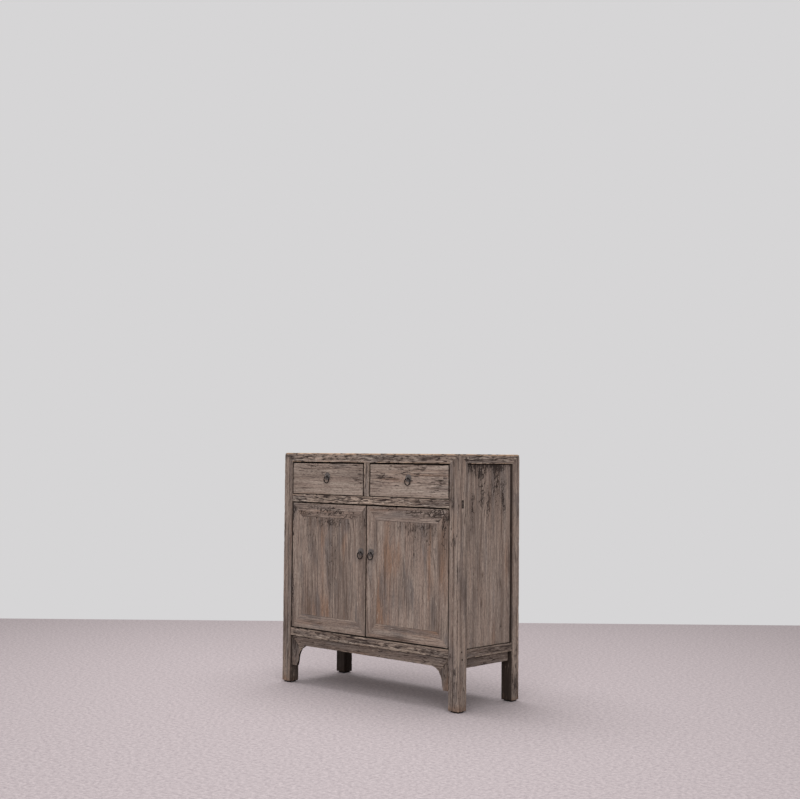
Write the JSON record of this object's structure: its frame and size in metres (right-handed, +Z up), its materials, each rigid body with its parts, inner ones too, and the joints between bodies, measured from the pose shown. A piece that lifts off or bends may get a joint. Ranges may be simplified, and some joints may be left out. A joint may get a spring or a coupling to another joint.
{
  "type": "sideboard",
  "caption": "Low weathered wooden sideboard on corner-post legs, with drawers over pivot-hung panelled doors, hanging ring pulls and a shaped apron.",
  "frame": {"origin": "on the floor, under the middle of the outer box, pulls included", "axes": "+X to the right along the front, -Y out of the front where the doors and drawers are, +Z up"},
  "size_m": [0.886, 0.3472, 0.88],
  "materials": {
    "frame_elm": "weathered grey-brown elm, dry, with dark remnants of old lacquer",
    "panel_elm": "weathered grey-brown elm boards, dry, with open grain",
    "apron_elm": "weathered elm, darker, dry",
    "inner_wood": "raw inner wood, unfinished",
    "old_iron": "dark hand-forged iron",
    "pad_rubber": "matt black"
  },
  "bodies": {
    "carcass": {"post_front_left": "frame_elm", "post_front_right": "frame_elm", "post_back_left": "frame_elm", "post_back_right": "frame_elm", "foot_pad_front_left": "pad_rubber", "foot_pad_front_right": "pad_rubber", "foot_pad_back_left": "pad_rubber", "foot_pad_back_right": "pad_rubber", "top_rail_front": "frame_elm", "top_rail_back": "frame_elm", "top_rail_left": "frame_elm", "top_rail_right": "frame_elm", "top_panel": "panel_elm", "drawer_divider": "frame_elm", "middle_rail_front": "frame_elm", "bottom_rail_front": "frame_elm", "bottom_rail_back": "frame_elm", "bottom_rail_left": "frame_elm", "bottom_rail_right": "frame_elm", "drawer_bearer_back": "inner_wood", "side_panel_left": "panel_elm", "side_panel_right": "panel_elm", "back_panel": "inner_wood", "apron_front": "apron_elm", "spandrel_left": "apron_elm", "spandrel_right": "apron_elm", "apron_left": "apron_elm", "apron_right": "apron_elm", "drawer_runner_left": "inner_wood", "drawer_runner_center": "inner_wood", "drawer_runner_right": "inner_wood", "floor_board": "inner_wood"},
    "door_left": {"door_left_hinge_stile": "frame_elm", "door_left_meeting_stile": "frame_elm", "door_left_top_rail": "frame_elm", "door_left_bottom_rail": "frame_elm", "door_left_panel": "panel_elm", "door_left_pull_plate": "old_iron"},
    "door_right": {"door_right_hinge_stile": "frame_elm", "door_right_meeting_stile": "frame_elm", "door_right_top_rail": "frame_elm", "door_right_bottom_rail": "frame_elm", "door_right_panel": "panel_elm", "door_right_pull_plate": "old_iron"},
    "drawer_left": {"drawer_left_front": "panel_elm", "drawer_left_side_left": "inner_wood", "drawer_left_side_right": "inner_wood", "drawer_left_back": "inner_wood", "drawer_left_bottom": "inner_wood", "drawer_left_pull_plate": "old_iron"},
    "drawer_right": {"drawer_right_front": "panel_elm", "drawer_right_side_left": "inner_wood", "drawer_right_side_right": "inner_wood", "drawer_right_back": "inner_wood", "drawer_right_bottom": "inner_wood", "drawer_right_pull_plate": "old_iron"},
    "ring_door_left": {"door_left_pull_ring": "old_iron"},
    "ring_door_right": {"door_right_pull_ring": "old_iron"},
    "ring_drawer_left": {"drawer_left_pull_ring": "old_iron"},
    "ring_drawer_right": {"drawer_right_pull_ring": "old_iron"}
  },
  "joints": [
    {"name": "door_left_hinge", "type": "hinge", "parent": "carcass", "child": "door_left", "pos_m": [-0.382, -0.1534, 0.2145], "axis": [0, 0, -1], "range_deg": [0, 110]},
    {"name": "door_right_hinge", "type": "hinge", "parent": "carcass", "child": "door_right", "pos_m": [0.382, -0.1534, 0.2145], "axis": [0, 0, 1], "range_deg": [0, 110]},
    {"name": "drawer_left_slide", "type": "slide", "parent": "carcass", "child": "drawer_left", "axis": [0, -1, 0], "range_m": [0, 0.22]},
    {"name": "drawer_right_slide", "type": "slide", "parent": "carcass", "child": "drawer_right", "axis": [0, -1, 0], "range_m": [0, 0.22]},
    {"name": "ring_door_left_swing", "type": "hinge", "parent": "door_left", "child": "ring_door_left", "pos_m": [-0.02575, -0.168, 0.52], "axis": [-1, 0, 0], "range_deg": [0, 165]},
    {"name": "ring_door_right_swing", "type": "hinge", "parent": "door_right", "child": "ring_door_right", "pos_m": [0.02575, -0.168, 0.52], "axis": [-1, 0, 0], "range_deg": [0, 165]},
    {"name": "ring_drawer_left_swing", "type": "hinge", "parent": "drawer_left", "child": "ring_drawer_left", "pos_m": [-0.2055, -0.168, 0.793], "axis": [-1, 0, 0], "range_deg": [0, 165]},
    {"name": "ring_drawer_right_swing", "type": "hinge", "parent": "drawer_right", "child": "ring_drawer_right", "pos_m": [0.2055, -0.168, 0.793], "axis": [-1, 0, 0], "range_deg": [0, 165]}
  ]
}
